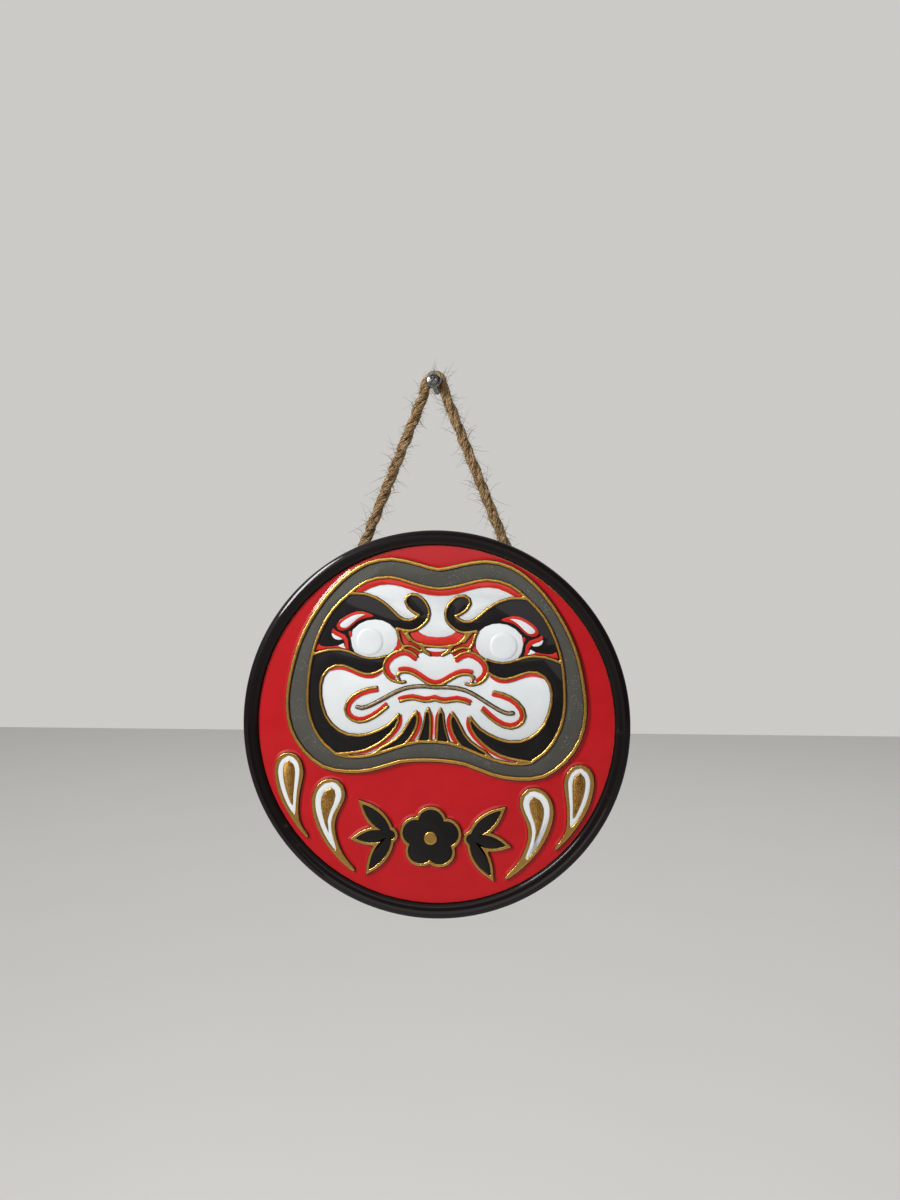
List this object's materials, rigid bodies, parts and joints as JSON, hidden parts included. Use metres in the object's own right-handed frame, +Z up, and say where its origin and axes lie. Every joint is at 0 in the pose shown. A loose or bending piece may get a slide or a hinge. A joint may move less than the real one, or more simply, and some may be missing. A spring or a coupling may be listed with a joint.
{
  "type": "wall plaque",
  "caption": "Round wall plaque with a daruma doll's face in coloured relief and gold lines, hung by a rope from a wall screw.",
  "frame": {"origin": "on the wall plane, on the axis of the wall screw", "axes": "+Z up, the face looks along -Y, the wall lies at Y = 0, +X to the viewer's right"},
  "size_m": [0.2, 0.038, 0.2862],
  "materials": {
    "screw_steel": "bright zinc plate",
    "jute": "natural twisted jute",
    "saddle_steel": "zinc plated",
    "pad_rubber": "matt",
    "board_wood": "plain pale wood",
    "rim_black": "gloss black",
    "field_red": "gloss red",
    "gold": "gold coated, dark at the edges",
    "grey": "dark grey with fine pale specks",
    "white": "gloss white",
    "black": "gloss black",
    "orange": "gloss orange-red"
  },
  "bodies": {
    "screw": {"wall_screw": "screw_steel"},
    "loop": {"rope_loop": "jute"},
    "plaque": {"rope_leg_left": "jute", "rope_leg_right": "jute", "rope_saddle_left": "saddle_steel", "rope_saddle_right": "saddle_steel", "saddle_screw_left": "saddle_steel", "saddle_screw_right": "saddle_steel", "wall_pad_left": "pad_rubber", "wall_pad_right": "pad_rubber", "board": "board_wood", "rim": "rim_black", "red_field": "field_red", "hood_line": "gold", "face_lines": "gold", "mouth_line": "gold", "blossom_line": "gold", "blossom_heart": "gold", "hook_line_left": "gold", "hook_line_right": "gold", "outer_drop_gold_left": "gold", "outer_drop_gold_right": "gold", "inner_drop_gold_left": "gold", "inner_drop_gold_right": "gold", "sprig_line_left": "gold", "sprig_line_right": "gold", "hood_band": "grey", "forehead": "white", "nose": "white", "muzzle": "white", "eye_left": "white", "eye_right": "white", "outer_drop_enamel_left": "white", "outer_drop_enamel_right": "white", "inner_drop_enamel_left": "white", "inner_drop_enamel_right": "white", "brow_left": "black", "brow_right": "black", "cheek_band_left": "black", "cheek_band_right": "black", "beard_wedge_left": "black", "beard_wedge_right": "black", "beard_tuft_left": "black", "beard_tuft_right": "black", "sprig_leaves_left": "black", "sprig_leaves_right": "black", "blossom_petals": "black", "bridge": "orange", "forehead_stripe": "orange", "nostril_stripe": "orange", "mouth_stripe": "orange", "nose_stripe_left": "orange", "nose_stripe_right": "orange", "hook_stripe_left": "orange", "hook_stripe_right": "orange", "lid_mark_left": "orange", "lid_mark_right": "orange", "corner_mark_left": "orange", "corner_mark_right": "orange"}
  },
  "joints": [
    {"name": "rope_swing", "type": "hinge", "parent": "screw", "child": "loop", "pos_m": [0, 0, 0], "axis": [0, 1, 0], "range_deg": [-25, 25]},
    {"name": "rope_lift", "type": "hinge", "parent": "loop", "child": "plaque", "pos_m": [0, -0.00395, -0.00305], "axis": [-1, 0, 0], "range_deg": [0, 45]}
  ]
}
